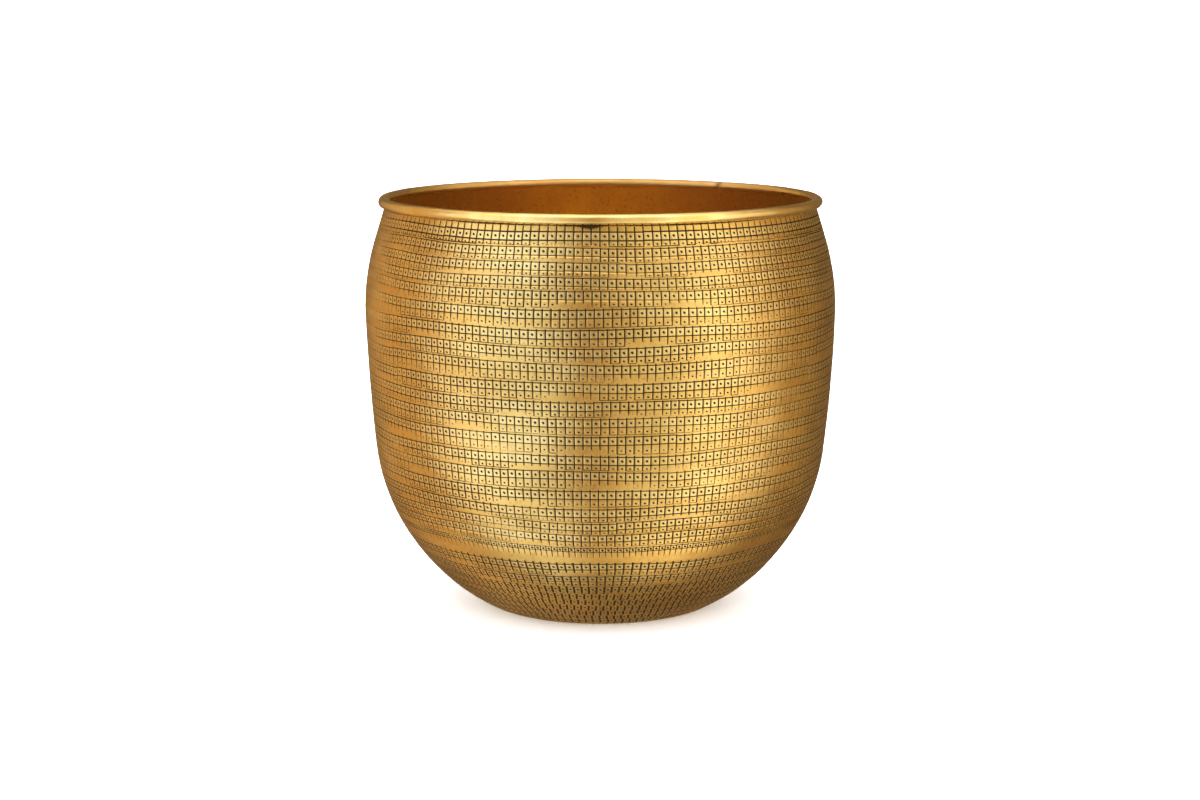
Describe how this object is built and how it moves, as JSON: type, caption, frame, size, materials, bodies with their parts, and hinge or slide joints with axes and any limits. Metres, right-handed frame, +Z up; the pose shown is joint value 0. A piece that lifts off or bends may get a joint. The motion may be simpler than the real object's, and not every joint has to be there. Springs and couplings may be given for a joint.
{
  "type": "planter pot",
  "caption": "Round-bellied planter pot of raised sheet brass with an open mouth, a round rod rim and a hand-punched surface of small dotted squares.",
  "frame": {"origin": "centre of the flat base, on the surface the pot stands on", "axes": "+Z up along the pot's axis of symmetry, -Y towards the front"},
  "size_m": [0.2399, 0.24, 0.21],
  "materials": {
    "body_brass": "satin",
    "rim_brass": "semi-polished"
  },
  "bodies": {
    "root": {"pot_body": "body_brass", "rim_ring": "rim_brass"}
  },
  "joints": []
}
